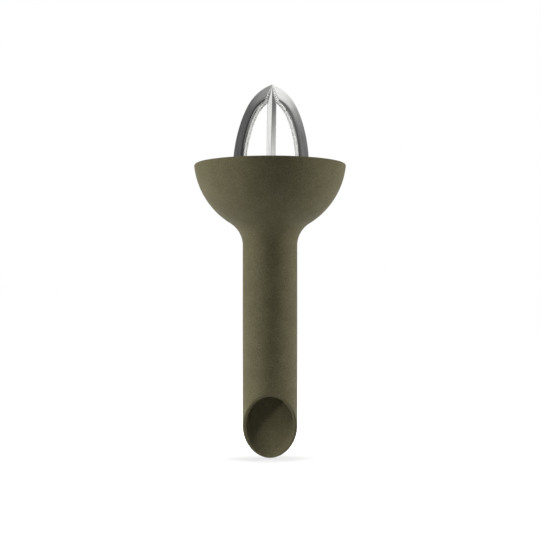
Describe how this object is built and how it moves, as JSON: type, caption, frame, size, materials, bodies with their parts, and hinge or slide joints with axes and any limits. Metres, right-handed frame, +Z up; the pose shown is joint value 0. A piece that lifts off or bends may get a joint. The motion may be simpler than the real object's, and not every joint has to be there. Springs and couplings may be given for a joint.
{
  "type": "hand-held citrus reamer",
  "caption": "Hand-held citrus reamer: pressed steel arms on a strainer in a round bowl, over a hollow round handle cut on a slant as a spout.",
  "frame": {"origin": "on the handle's axis, 85 mm under the rim, close to the middle of the part of the grip that is round all the way", "axes": "+Z up the handle to the reamer's tip, the spout's opening and the front arm face -Y, +X to the right of someone looking at the spout"},
  "size_m": [0.0806, 0.0804, 0.2004],
  "materials": {
    "body": "matt, fine speckle",
    "strainer": "matt",
    "arm_front": "fine brushed",
    "arm_left": "fine brushed",
    "arm_right": "fine brushed"
  },
  "bodies": {
    "vessel": {"body": "body"},
    "insert": {"strainer": "strainer", "arm_front": "arm_front", "arm_left": "arm_left", "arm_right": "arm_right"}
  },
  "joints": [
    {"name": "insert_lift", "type": "slide", "parent": "vessel", "child": "insert", "axis": [0, 0, 1], "range_m": [0, 0.07]}
  ]
}
